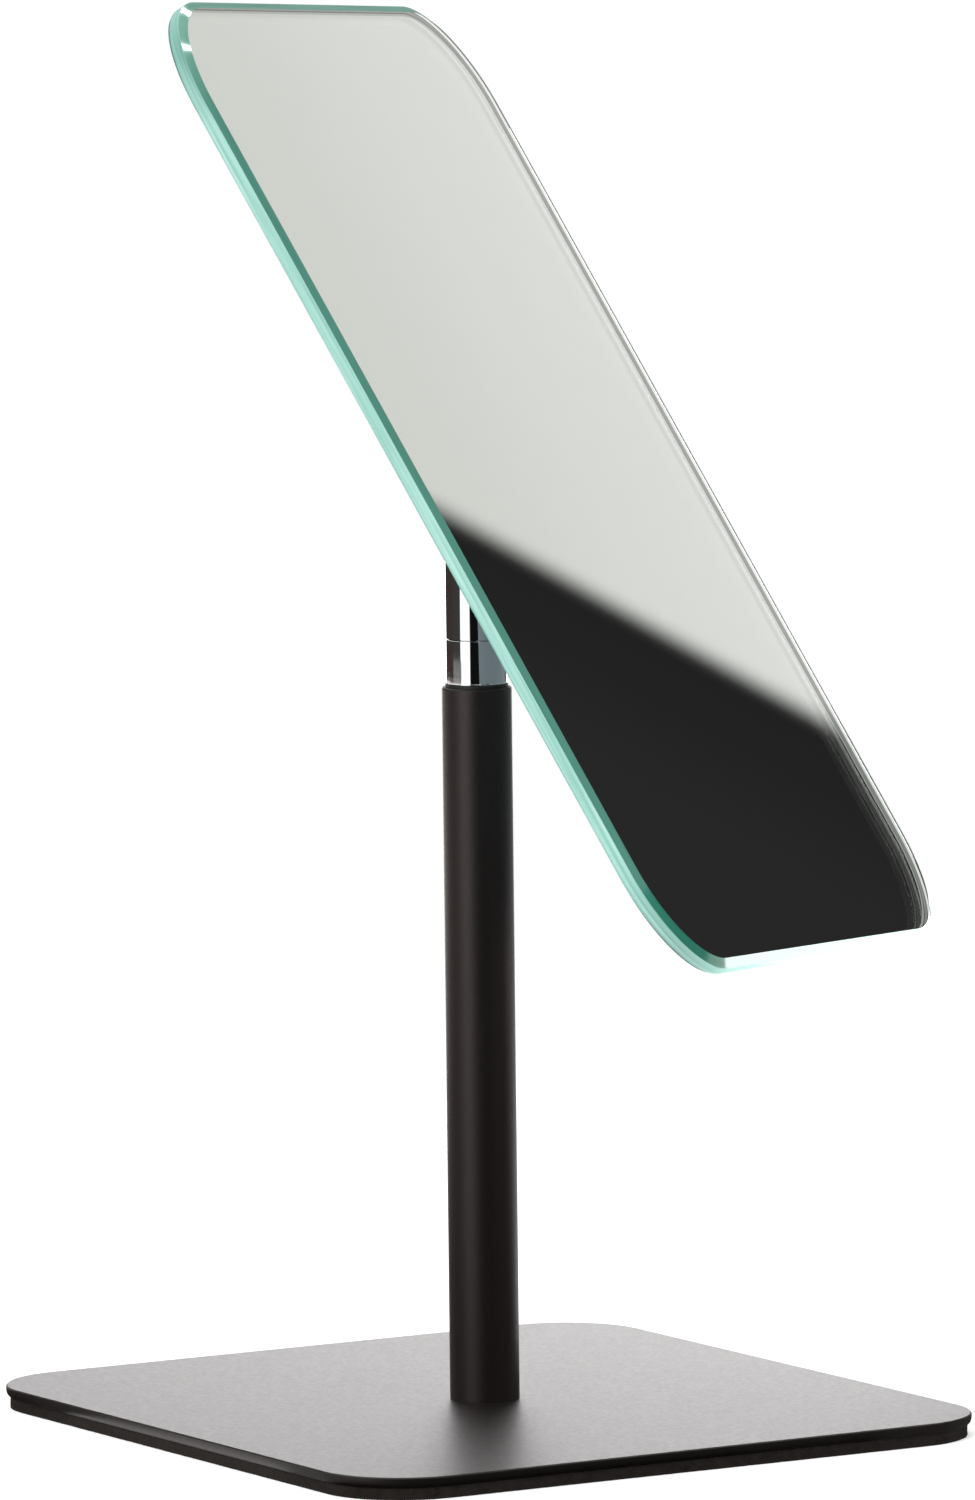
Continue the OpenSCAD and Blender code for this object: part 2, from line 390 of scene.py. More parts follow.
@dataclass(frozen=True)
class Plated:
    """Bare or plated metal: a base colour with fine marks along or round the piece."""

    name: str
    dark: Colour
    light: Colour
    gloss: Span
    mark_scale: float
    stretch: Triple = (1.0, 1.0, 1.0)
    mark_detail: float = 3.0
    mark_depth: float = 0.0
    mark_strength: float = 0.5

    def material(self) -> Material:
        """Makes the metal's node material.

        Returns:
            The material.
        """
        shader = Shader(self.name)
        stretched = shader.add("ShaderNodeMapping", Vector=shader.place, Scale=self.stretch)
        marks = shader.coat(stretched.outputs["Vector"], self.gloss, Scale=self.mark_scale,
                            Detail=self.mark_detail, Dark=self.dark, Light=self.light)
        shader.give(Metallic=1.0)
        if self.mark_depth:
            shader.bump(marks, self.mark_depth, self.mark_strength)
        return shader.material


@dataclass(frozen=True)
class Moulded:
    """Moulded plastic or rolled paint: mottled colour, dull gloss and a faint texture."""

    name: str
    dark: Colour
    light: Colour
    gloss: Span
    texture_scale: float
    texture_detail: float = 4.0
    texture_depth: float = 0.01 * MM
    texture_strength: float = 0.5

    def material(self) -> Material:
        """Makes the plastic's node material.

        Returns:
            The material.
        """
        shader = Shader(self.name)
        skin = shader.coat(shader.place, self.gloss, Scale=self.texture_scale, Detail=self.texture_detail,
                           Dark=self.dark, Light=self.light)
        shader.bump(skin, self.texture_depth, self.texture_strength)
        return shader.material


@dataclass(frozen=True)
class ClearGlass:
    """Clear float glass, green where it is seen along its length."""

    name: str = "clear_float_glass"
    tint: Colour = (0.2, 0.64, 0.575)
    density: float = 4.0
    gloss: Span = (0.0, 0.004)
    wipe_scale: float = 60.0
    wipe_detail: float = 2.0

    def material(self) -> Material:
        """Makes the glass's node material, with its green in the volume.

        Returns:
            The material.
        """
        shader = Shader(self.name)
        shader.grain(shader.place, self.gloss, Scale=self.wipe_scale, Detail=self.wipe_detail)
        shader.give(Base_Color=WHITE, Transmission_Weight=1.0, IOR=GLASS_INDEX)
        body = shader.add("ShaderNodeVolumeAbsorption", Color=self.tint, Density=self.density)
        shader.tree.links.new(body.outputs["Volume"], shader.output.inputs["Volume"])
        return shader.material


@dataclass(frozen=True)
class GlassEdge:
    """Rim or bevel of the glass: green, with fine grinding lines along the edge and painted light inside.

    The upper corners have painted light and shade: greens of their own, darker on the rim and lighter on the
    bevel, standing in for how light falls through the glass. The inner tones are painted light, a glow on
    the back faces, and run from the glass's back to its front.
    """

    name: str
    dark: Colour
    light: Colour
    # Painted light and shade: the upper corners' greens, darker on the rim and lighter on the bevel
    upper_painted_dark: Colour
    upper_painted_light: Colour
    # Painted light: glow tones on the back faces, standing in for light carried inside the glass
    inner: Tones
    gloss: Span
    painted_upper_span: Span = (93 * MM, 111 * MM)
    line_scale: Triple = (30.0, 30.0, 1500.0)
    line_detail: float = 2.0

    def material(self, place: Matrix, back: float, front: float) -> Material:
        """Makes the edge's node material.

        Args:
            place: the pane's frame, whose Z crosses the edge.
            back: Z of the glass's back face.
            front: Z of its front face.

        Returns:
            The material.
        """
        shader = Shader(self.name)
        into_pane = place.inverted()
        in_pane = shader.add("ShaderNodeMapping", Vector=shader.place, Location=into_pane.translation,
                             Rotation=into_pane.to_euler()).outputs["Vector"]
        stretched = shader.add("ShaderNodeMapping", Vector=in_pane, Scale=self.line_scale).outputs["Vector"]
        # Painted light and shade: the upper corners take their own greens
        painted_upper_share = shader.share(shader.along("Y", in_pane), self.painted_upper_span, "LINEAR")
        lines = shader.grain(stretched, self.gloss, Scale=1.0, Detail=self.line_detail,
                             Dark=shader.mix(painted_upper_share, self.dark, self.upper_painted_dark),
                             Light=shader.mix(painted_upper_share, self.light, self.upper_painted_light))
        across = shader.share(shader.along("Z", in_pane), (back, front), "LINEAR")
        # Painted light: the back faces glow with the inner tones, from back to front
        inside = shader.add("ShaderNodeNewGeometry").outputs["Backfacing"]
        paint = shader.mix(inside, lines.outputs["Colour"], BLACK)
        glow = shader.mix(inside, BLACK, shader.ramp(across, self.inner))
        shader.give(IOR=GLASS_INDEX, Base_Color=paint, Emission_Color=glow, Emission_Strength=1.0)
        return shader.material


class Finishes:
    """Every finish of the part, made once and given by its slot."""

    def __init__(self) -> None:
        """Makes the materials, and the rim's and the bevel's finish."""
        rows = {
            Stock.BLACK_COAT: SatinCoat(),
            Stock.FOAM: CutFoam(),
            Stock.CHROME: Plated("polished_chrome", dark=(0.74, 0.75, 0.76), light=(0.80, 0.81, 0.82),
                                 gloss=(0.02, 0.05), mark_scale=300.0, stretch=(1.0, 1.0, 8.0)),
            Stock.STEEL: Plated("zinc_plated_steel", dark=(0.42, 0.43, 0.45), light=(0.58, 0.58, 0.57),
                                gloss=(0.24, 0.40), mark_scale=700.0, mark_depth=0.01 * MM),
            Stock.NYLON: Moulded("natural_nylon", dark=(0.66, 0.64, 0.57), light=(0.78, 0.76, 0.70),
                                 gloss=(0.40, 0.55), texture_scale=800.0),
            Stock.BLACK_NYLON: Moulded("black_nylon", dark=grey(0.006), light=grey(0.012), gloss=(0.40, 0.55),
                                       texture_scale=900.0),
            Stock.BACKING_PAINT: Moulded("backing_paint", dark=(0.20, 0.27, 0.295),
                                         light=(0.265, 0.345, 0.375), gloss=(0.50, 0.65),
                                         texture_scale=500.0),
            Stock.SILVER: Plated("silvered_back", dark=(0.90, 0.92, 0.90), light=(0.92, 0.94, 0.92),
                                 gloss=(0.0, 0.004), mark_scale=50.0),
            Stock.GLASS: ClearGlass(),
        }
        self.by_stock = {stock: finish.material() for stock, finish in rows.items()}
        # Painted light inside the glass: glow tones across the edge, from its back to its front, with stripes
        # on the bevel
        shade, dull = (0.05, 0.05, 0.048), (0.29, 0.295, 0.28)
        pale, white = (0.42, 0.425, 0.41), (0.94, 0.95, 0.93)
        rim_painted_glow = ((0.0, shade), (0.16, shade), (0.18, white), (1.0, white))
        bevel_painted_glow = ((0.74, shade), (0.76, shade), (0.77, dull), (0.89, dull), (0.90, shade), (0.92, shade),
                       (0.93, pale), (1.0, pale))
        # The upper greens are painted shade on the rim and painted light on the bevel
        self.rim = GlassEdge("ground_glass_rim", dark=(0.08, 0.33, 0.26), light=(0.55, 0.84, 0.76),
                             upper_painted_dark=(0.02, 0.13, 0.10), upper_painted_light=(0.30, 0.56, 0.49), inner=rim_painted_glow,
                             gloss=(0.35, 0.5))
        self.bevel = GlassEdge("polished_glass_bevel", dark=(0.018, 0.15, 0.10), light=(0.042, 0.22, 0.168),
                               upper_painted_dark=(0.03, 0.18, 0.12), upper_painted_light=(0.125, 0.32, 0.255),
                               inner=bevel_painted_glow, gloss=(0.08, 0.14))

    def dress(self, node: Object, stock: Stock) -> None:
        """Puts a finish on all of a mesh.

        Args:
            node: the mesh object.
            stock: the finish.
        """
        if not node.data.materials:
            node.data.materials.append(None)
        node.data.materials[0] = self.by_stock[stock]


def show(name: str, shape: BMesh) -> Object:
    """Turns a bmesh into an object of the scene.

    Args:
        name: the object's name.
        shape: the finished mesh, which is freed.

    Returns:
        The new object.
    """
    mesh = bpy.data.meshes.new(name)
    shape.to_mesh(mesh)
    shape.free()
    made = bpy.data.objects.new(name, mesh)
    bpy.context.scene.collection.objects.link(made)
    return made


def add_piece(name: str, shape: BMesh, body: str, replaced: str) -> Object:
    """Turns a bmesh into a piece that stands for a CAD node.

    Args:
        name: the piece's name.
        shape: the finished mesh, in the row frame, which is freed.
        body: the CAD body that carries the piece.
        replaced: the CAD node that isn't shown any more.

    Returns:
        The new object.
    """
    piece = show(name, shape)
    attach(piece, body)
    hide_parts(replaced)
    return piece


def round_plate(width: float, depth: float, radius: float, steps: int) -> BMesh:
    """Makes one flat face in the XY plane with round corners.

    Args:
        width: size along X.
        depth: size along Y.
        radius: the corners' radius.
        steps: segments in each corner.

    Returns:
        The bmesh with that face, facing +Z.
    """
    shape = bmesh.new()
    bmesh.ops.create_grid(shape, x_segments=1, y_segments=1, size=0.5)
    bmesh.ops.scale(shape, vec=(width, depth, 1.0), verts=shape.verts)
    bmesh.ops.bevel(shape, geom=shape.verts[:], offset=radius, offset_type="OFFSET", affect="VERTICES",
                    segments=steps, profile=0.5, material=-1)
    return shape


def raise_faces(shape: BMesh, faces: list[BMFace], rise: float) -> list[BMFace]:
    """Extrudes faces along Z.

    Args:
        shape: the mesh.
        faces: its faces that go up.
        rise: how far.

    Returns:
        The raised faces.
    """
    made = bmesh.ops.extrude_face_region(shape, geom=faces)
    raised = [f for f in made["geom"] if isinstance(f, BMFace)]
    bmesh.ops.translate(shape, vec=(0.0, 0.0, rise), verts=corners(raised))
    return raised


def corners(faces: list[BMFace]) -> list[BMVert]:
    """Gives the corners of some faces, each once."""
    return list({v for f in faces for v in f.verts})


def smooth_by_angle(piece: Object, angle: float) -> None:
    """Shades a piece smooth, with its sharper edges kept.

    Args:
        piece: the mesh object.
        angle: edges that bend more than this stay sharp, in radians.
    """
    piece.data.shade_smooth()
    piece.data.set_sharp_from_angle(angle=angle)


@dataclass
class FoamPad:
    """The foam pad under the black plate, sized from it and rough along its cut edge."""

    width: float = 167.5 * MM
    depth: float = 182.5 * MM
    radius: float = 21 * MM
    corner_steps: int = 28
    pad_inset: float = 0.9 * MM
    pad_height: float = 2.7 * MM
    pad_layers: int = 5
    pad_step: float = 1.2 * MM
    straight_from: float = 4.8 * MM
    rough: float = 0.16 * MM
    coarse_scale: float = 220.0
    coarse_weight: float = 0.6
    fine_scale: float = 1300.0
    fine_weight: float = 0.8
    inward: float = 0.5
    lift: float = 0.12 * MM
    lift_scale: float = 700.0

    def build(self, finishes: Finishes) -> Object:
        """Makes the foam pad.

        Args:
            finishes: the part's materials.

        Returns:
            The pad.
        """
        shape = round_plate(self.width - 2 * self.pad_inset, self.depth - 2 * self.pad_inset,
                            self.radius - self.pad_inset, self.corner_steps)
        straight = [e for e in shape.edges if e.calc_length() > self.straight_from]
        bmesh.ops.subdivide_edges(shape, edges=straight, cuts=int(self.width / self.pad_step))
        top = list(shape.faces)
        for _ in range(self.pad_layers):
            top = raise_faces(shape, top, self.pad_height / self.pad_layers)
        bmesh.ops.recalc_face_normals(shape, faces=shape.faces)
        for vert in shape.verts:
            self._roughen(vert)
        pad = add_piece("foam_pad", shape, "base", "base_pad")
        finishes.dress(pad, Stock.FOAM)
        LOG.info("foam pad, %d faces", len(pad.data.polygons))
        return pad

    def _roughen(self, vert: BMVert) -> None:
        """Moves a point of the pad's cut edge in or out by coarse and fine noise.

        Args:
            vert: the point.
        """
        share = vert.co.z / self.pad_height
        outward = Vector((vert.co.x, vert.co.y, 0.0)).normalized()
        coarse = self.coarse_weight * noise.noise(vert.co * self.coarse_scale)
        fine = self.fine_weight * noise.noise(vert.co * self.fine_scale)
        vert.co += outward * self.rough * (coarse + fine - self.inward)
        if 0.0 < share < 1.0:
            vert.co.z += self.lift * noise.noise(vert.co * self.lift_scale)


@dataclass
class Pane:
    """The bevelled glass, its silver and paint, and the foam bond behind it."""

    width: float = 182 * MM
    height: float = 250 * MM
    radius: float = 26.5 * MM
    front: float = 25.5 * MM
    thickness: float = 4 * MM
    bevel_width: float = 2.1 * MM
    bevel_depth: float = 1.05 * MM
    arris: float = 0.4 * MM
    turn: float = math.radians(-4.7)
    corner_steps: int = 40
    sharp_angle: float = math.radians(15)
    coats: float = 0.4 * MM
    coat_inset: float = 0.6 * MM
    coat_slant: float = 4.0
    silver_depth: float = 0.04 * MM
    silver_sunk: float = 0.01 * MM
    bond_radius: float = 29 * MM
    bond_height: float = 1 * MM
    bond_bulge: float = 0.25 * MM
    bond_segments: int = 96
    bond_layers: int = 6
    bond_sharp_angle: float = math.radians(40)
    joints: dict[str, dict[str, Any]] = field(default_factory=dict)

    @property
    def back(self) -> float:
        """Gives the glass's back face, along the pane's normal."""
        return self.front - self.thickness

    def place(self) -> Matrix:
        """Gives the pane's frame: Z along its normal from the pivot, Y up the pane.

        Returns:
            The matrix from the pane's frame to the row frame.
        """
        normal = Vector(self.joints["mirror_turn"]["axis"]).normalized()
        across = -Vector(self.joints["mirror_tilt"]["axis"]).normalized()
        up = normal.cross(across)
        turned = Matrix((across, up, normal)).transposed().to_4x4()
        pivot = Matrix.Translation(Vector(self.joints["mirror_turn"]["pos_m"]))
        return pivot @ turned @ Matrix.Rotation(self.turn, 4, "Z")

    def bevel_at(self, angle: float) -> tuple[Vector, Vector]:
        """Finds a point on the bevel and the way the bevel faces there.

        Args:
            angle: the way that the bevel slopes, in the pane, in radians from its X.

        Returns:
            The point and the outward normal, in the row frame.
        """
        outward = Vector((math.cos(angle), math.sin(angle), 0.0))
        straight = (self.width / 2 - self.radius, self.height / 2 - self.radius)
        middle = [math.copysign(half, way) if abs(way) > TINY else 0.0
                  for half, way in zip(straight, outward)]
        point = Vector((*middle, self.front - self.bevel_depth / 2))
        point += outward * (self.radius - self.bevel_width / 2)
        slope = math.atan2(self.bevel_depth, self.bevel_width)
        normal = outward * math.sin(slope) + Vector((0.0, 0.0, math.cos(slope)))
        return self.place() @ point, self.place().to_3x3() @ normal

    def build(self, finishes: Finishes) -> Object:
        """Makes the silver, the paint, the glass and the bond.

        Args:
            finishes: the part's materials.

        Returns:
            The glass.
        """
        silver_top = self.back + self.silver_sunk
        paint_top = silver_top - self.silver_depth
        paint_back = self.back - self.coats
        self._coat("silver_film", "mirror_silver", Stock.SILVER, (silver_top, paint_top), finishes)
        self._coat("paint_film", "mirror_backing", Stock.BACKING_PAINT, (paint_top, paint_back), finishes)
        glass = self._glass(finishes)
        self._bond(finishes)
        return glass

    def _coat(self, name: str, replaced: str, stock: Stock, faces: Span, finishes: Finishes) -> None:
        """Makes one flat coat behind the glass, set back from the rim and thinned out towards it.

        Args:
            name: the piece's name.
            replaced: the CAD node that isn't shown any more.
            stock: its finish.
            faces: its front and its back face, along the pane's normal.
            finishes: the part's materials.
        """
        depth = faces[0] - faces[1]
        inset = self.coat_inset + self.coat_slant * depth
        sides = (self.width - 2 * inset, self.height - 2 * inset)
        shape = round_plate(*sides, self.radius - inset, self.corner_steps)
        raised = raise_faces(shape, list(shape.faces), depth)
        wider = [1 + 2 * self.coat_slant * depth / side for side in sides]
        bmesh.ops.scale(shape, vec=(*wider, 1.0), verts=corners(raised))
        self._settle(shape, faces[1])
        coat = add_piece(name, shape, "mirror", replaced)
        finishes.dress(coat, stock)
        LOG.info("%s, %d faces", name, len(coat.data.polygons))

    def _glass(self, finishes: Finishes) -> Object:
        """Makes the glass with its ground rim and polished front bevel.

        Args:
            finishes: the part's materials.

        Returns:
            The glass.
        """
        shape = round_plate(self.width, self.height, self.radius, self.corner_steps)
        shape.faces.ensure_lookup_table()
        back_face = shape.faces[0]
        front_face = raise_faces(shape, [back_face], self.thickness - self.bevel_depth - self.arris)[0]
        bmesh.ops.recalc_face_normals(shape, faces=shape.faces)
        for side in shape.faces:
            flat = side in (front_face, back_face)
            side.material_index = GlassSlot.BODY if flat else GlassSlot.RIM
        strips = ((front_face, self.bevel_width, self.bevel_depth, GlassSlot.BEVEL),
                  (back_face, self.arris, self.arris, GlassSlot.RIM))
        for face, width, depth, slot in strips:
            made = bmesh.ops.inset_region(shape, faces=[face], thickness=width, depth=depth,
                                          use_even_offset=True)
            for strip in made["faces"]:
                strip.material_index = slot
        self._settle(shape, self.back + self.arris)
        glass = add_piece("bevelled_glass", shape, "mirror", "mirror_glass")
        finishes.dress(glass, Stock.GLASS)
        for edge in (finishes.rim, finishes.bevel):
            glass.data.materials.append(edge.material(self.place(), self.back, self.front))
        smooth_by_angle(glass, self.sharp_angle)
        LOG.info("bevelled glass, %d faces", len(glass.data.polygons))
        return glass

    def _bond(self, finishes: Finishes) -> None:
        """Makes the foam bond between mount disc and backing, bulged a little at its edge.

        Args:
            finishes: the part's materials.
        """
        shape = bmesh.new()
        bmesh.ops.create_circle(shape, cap_ends=True, radius=self.bond_radius, segments=self.bond_segments)
        top = list(shape.faces)
        for step in range(1, self.bond_layers + 1):
            top = raise_faces(shape, top, self.bond_height / self.bond_layers)
            ring = corners(top)
            bulge = self.bond_bulge * math.sin(math.pi * step / self.bond_layers)
            factor = (self.bond_radius + bulge) / Vector(ring[0].co.xy).length
            bmesh.ops.scale(shape, vec=(factor, factor, 1.0), verts=ring)
        self._settle(shape, self.back - self.coats - self.bond_height)
        bond = add_piece("foam_bond", shape, "mirror", "adhesive_pad")
        finishes.dress(bond, Stock.FOAM)
        smooth_by_angle(bond, self.bond_sharp_angle)
        LOG.info("foam bond, %d faces", len(bond.data.polygons))

    def _settle(self, shape: BMesh, lift: float) -> None:
        """Turns a mesh's faces outward and moves it from the pane's frame to the row frame.

        Args:
            shape: the mesh, as it lies in the pane.
            lift: how far it goes along the pane's normal.
        """
        bmesh.ops.recalc_face_normals(shape, faces=shape.faces)
        place = self.place() @ Matrix.Translation((0.0, 0.0, lift))
        bmesh.ops.transform(shape, matrix=place, verts=shape.verts)


def hang_lamp(name: str, size: Span, watts: float, place: Vector, away: Vector) -> Object:
    """Makes a flat lamp that the camera doesn't see.

    Args:
        name: the lamp's name.
        size: its sides, in metres.
        watts: its power.
        place: where it hangs.
        away: the way from what it lights to the lamp.

    Returns:
        The lamp.
    """
    data = bpy.data.lights.new(name, "AREA")
    data.shape = "RECTANGLE"
    data.size, data.size_y = size
    data.energy = watts
    lamp = bpy.data.objects.new(name, data)
    bpy.context.scene.collection.objects.link(lamp)
    lamp.location = place
    lamp.rotation_mode = "QUATERNION"
    lamp.rotation_quaternion = (-away).to_track_quat("-Z", "Y")
    lamp.visible_camera = False
    lamp.visible_transmission = False
    return lamp


@dataclass(frozen=True)
class SoftLamp:
    """A large square lamp that points at the joint, placed by its angles in degrees and its distance."""

    name: str
    azimuth: float
    elevation: float
    distance: float
    side: float
    watts: float

    def build(self, aim: Vector) -> None:
        """Makes the lamp, which isn't mirrored.

        Args:
            aim: the point that it points at.
        """
        turned, raised = math.radians(self.azimuth), math.radians(self.elevation)
        level = math.cos(raised)
        away = Vector((math.cos(turned) * level, math.sin(turned) * level, math.sin(raised)))
        lamp = hang_lamp(self.name, (self.side, self.side), self.watts, aim + away * self.distance, away)
        lamp.visible_glossy = False


@dataclass(frozen=True)
class CatchLight:
    """A small lamp for one stretch of the pane's edge, placed by its angle in the pane, in degrees."""

    name: str
    angle: float
    size: Span
    watts: float


@dataclass
class Lamps:
    """Soft lamps from the front left, from above and from the right, and small ones for the pane's edge."""

    aim: Triple = (0.0, 0.0, 0.18)
    soft: tuple[SoftLamp, ...] = (
        SoftLamp("key_lamp", azimuth=-160.0, elevation=35.0, distance=2.2, side=1.6, watts=42.0),
        SoftLamp("top_lamp", azimuth=60.0, elevation=75.0, distance=2.4, side=2.0, watts=42.0),
        SoftLamp("side_lamp", azimuth=-30.0, elevation=25.0, distance=2.2, side=1.2, watts=18.0),
    )
    catch: tuple[CatchLight, ...] = (
        CatchLight("catch_light_bottom", angle=270.0, size=(0.6, 0.25), watts=2.45),
        CatchLight("catch_light_corner", angle=112.0, size=(0.035, 0.035), watts=0.12),
        CatchLight("catch_light_side", angle=146.0, size=(0.03, 0.03), watts=0.08),
    )
    catch_distance: float = 0.6
    rim: CatchLight = CatchLight("rim_light", angle=270.0, size=(0.12, 0.03), watts=0.18)
    rim_distance: float = 60 * MM
    rim_shift: float = 35 * MM

    def build(self, pane: Pane, glass: Object, camera: Object) -> None:
        """Makes the lamps. The bevel mirrors the catch lights into the camera, and one lights the lower rim.

        Args:
            pane: the pane, for the bevel's place.
            glass: the glass, which alone sees the small lamps.
            camera: the camera.
        """
        for row in self.soft:
            row.build(Vector(self.aim))
        receivers = bpy.data.collections.new("catch_light_receivers")
        receivers.objects.link(glass)
        for row in self.catch:
            point, normal = pane.bevel_at(math.radians(row.angle))
            seen = (point - Vector(camera.matrix_world.translation)).normalized()
            away = seen.reflect(normal)
            lamp = hang_lamp(row.name, row.size, row.watts, point + away * self.catch_distance, away)
            lamp.light_linking.receiver_collection = receivers
            lamp.visible_diffuse = False
        under, _ = pane.bevel_at(math.radians(self.rim.angle))
        down = pane.place().to_3x3() @ Vector((0.0, -1.0, 0.0))
        along = pane.place().to_3x3() @ Vector((self.rim_shift, 0.0, 0.0))
        place = under + along + down * self.rim_distance
        lamp = hang_lamp(self.rim.name, self.rim.size, self.rim.watts, place, down)
        lamp.light_linking.receiver_collection = receivers
        lamp.visible_glossy = False


def seen_rays(tree: NodeTree) -> NodeSocket:
    """Gives 1 for rays that show the surroundings: camera, glossy and transmission rays.

    Args:
        tree: the node tree to add to.

    Returns:
        The socket with that value.
    """
    path = tree.nodes.new("ShaderNodeLightPath")
    found = path.outputs["Is Camera Ray"]
    for name in ("Is Glossy Ray", "Is Transmission Ray"):
        either = tree.nodes.new("ShaderNodeMath")
        either.operation = "MAXIMUM"
        tree.links.new(found, either.inputs[0])
        tree.links.new(path.outputs[name], either.inputs[1])
        found = either.outputs[0]
    return found


@dataclass
class Room:
    """White surroundings, and a pale floor that keeps the object's shadow and turns white further out."""

    ambient: float = 0.45
    half: float = 8.0
    fade: Span = (0.3, 1.0)
    glow: float = 0.3
    colour: Colour = grey(0.82)
    roughness: float = 0.9

    def build(self) -> None:
        """Makes the surroundings and the floor."""
        self._world()
        self._floor()

    def _world(self) -> None:
        """Makes the surroundings: white where they are seen, softer as light."""
        world = bpy.data.worlds.new("white_studio")
        bpy.context.scene.world = world
        world.use_nodes = True
        tree = world.node_tree
        sky = tree.nodes["Background"]
        sky.inputs["Color"].default_value = rgba(WHITE)
        level = tree.nodes.new("ShaderNodeMapRange")
        level.inputs["To Min"].default_value = self.ambient
        level.inputs["To Max"].default_value = 1.0
        tree.links.new(seen_rays(tree), level.inputs["Value"])
        tree.links.new(level.outputs["Result"], sky.inputs["Strength"])

    def _floor(self) -> None:
        """Makes the floor, whose own light only shows where it is seen."""
        shape = bmesh.new()
        bmesh.ops.create_grid(shape, x_segments=1, y_segments=1, size=self.half)
        floor = show("floor", shape)
        shader = Shader("pale_floor")
        reach = shader.add("ShaderNodeVectorMath", Vector=shader.place)
        reach.operation = "LENGTH"
        far = shader.share(reach.outputs["Value"], self.fade)
        level = shader.add("ShaderNodeMapRange", Value=far, To_Min=self.glow, To_Max=1.0)
        seen = shader.add("ShaderNodeMath")
        seen.operation = "MULTIPLY"
        shader.tree.links.new(level.outputs["Result"], seen.inputs[0])
        shader.tree.links.new(seen_rays(shader.tree), seen.inputs[1])
        paint = shader.mix(far, self.colour, BLACK)
        shader.give(Base_Color=paint, Roughness=self.roughness, Specular_IOR_Level=0.0,
                    Emission_Color=WHITE, Emission_Strength=seen.outputs[0])
        floor.data.materials.append(shader.material)


def show_card(name: str, shape: BMesh, place: Matrix) -> Shader:
    """Turns a bmesh into a card that only mirrored and refracted rays see.

    Args:
        name: the card's name.
        shape: its mesh, which is freed.
        place: where it stands.

    Returns:
        The card's shader, which still needs its Emission Color.
    """
    card = show(name, shape)
    card.matrix_world = place
    card.visible_camera = False
    card.visible_diffuse = False
    card.visible_shadow = False
    shader = Shader(name)
    shader.give(Base_Color=BLACK, Specular_IOR_Level=0.0, Emission_Strength=1.0)
    card.data.materials.append(shader.material)
    return shader


def spin_wall(profile: list[Span], sweep: float, steps: int) -> BMesh:
    """Spins an open profile about Z, from +X on.

    Args:
        profile: its points, as radius and height.
        sweep: the angle, in degrees.
        steps: segments round it.

    Returns:
        The mesh.
    """
    shape = bmesh.new()
    points = [shape.verts.new((radius, 0.0, height)) for radius, height in profile]
    edges = [shape.edges.new(pair) for pair in zip(points, points[1:])]
    bmesh.ops.spin(shape, geom=points + edges, cent=CENTRE, axis=UPWARD, angle=math.radians(sweep),
                   steps=steps, use_merge=False)
    return shape


